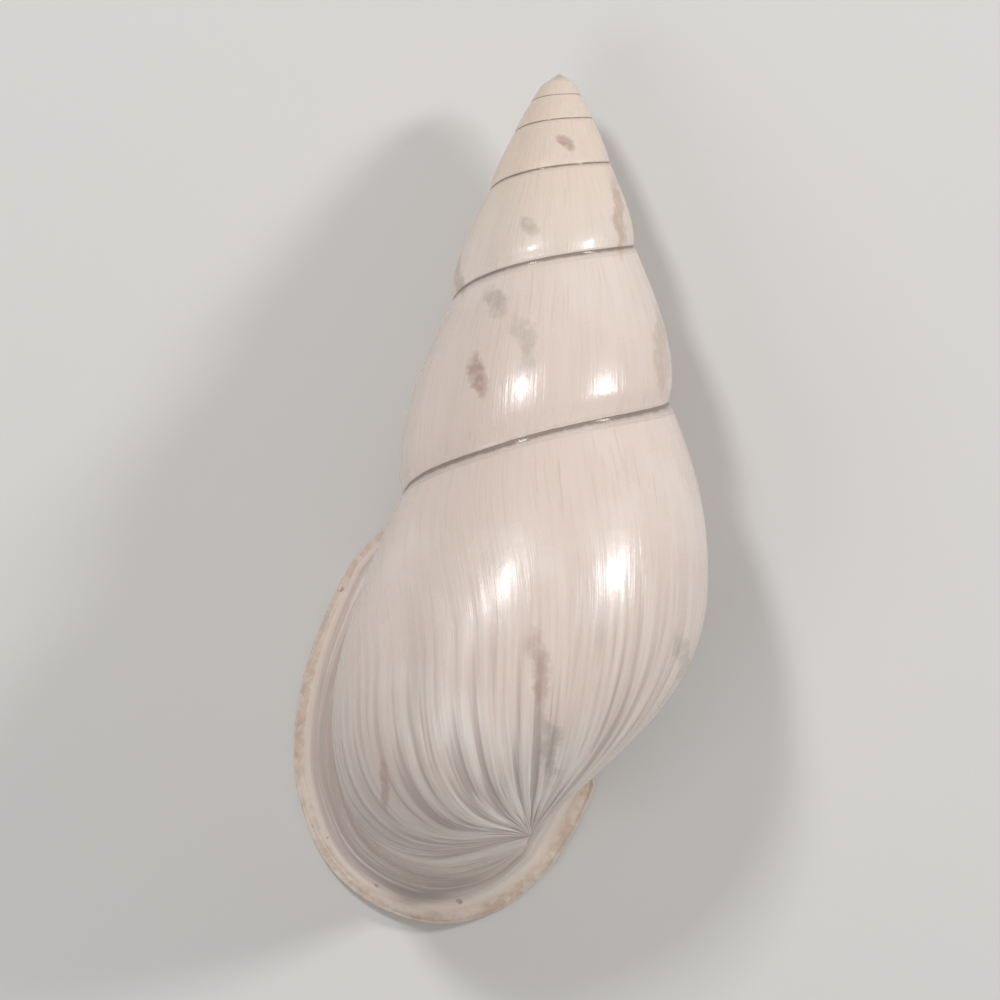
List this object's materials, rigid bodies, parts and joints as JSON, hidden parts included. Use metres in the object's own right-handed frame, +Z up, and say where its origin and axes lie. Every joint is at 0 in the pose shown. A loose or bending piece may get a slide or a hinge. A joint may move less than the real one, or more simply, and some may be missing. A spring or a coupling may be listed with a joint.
{
  "type": "snail shell",
  "caption": "Long-spired spiral snail shell with swollen last whorl and flared open lip, lying mouth down. For display or set dressing.",
  "frame": {"origin": "middle of the footprint, on the ground that the lip rests on", "axes": "+Y along the shell towards the apex, +Z up away from the mouth, +X to the right seen from above with the apex at the top"},
  "size_m": [0.0364, 0.075, 0.0316],
  "materials": {
    "shell": "glossy cream to pinkish white, growth ridged"
  },
  "bodies": {
    "root": {"shell": "shell"}
  },
  "joints": []
}
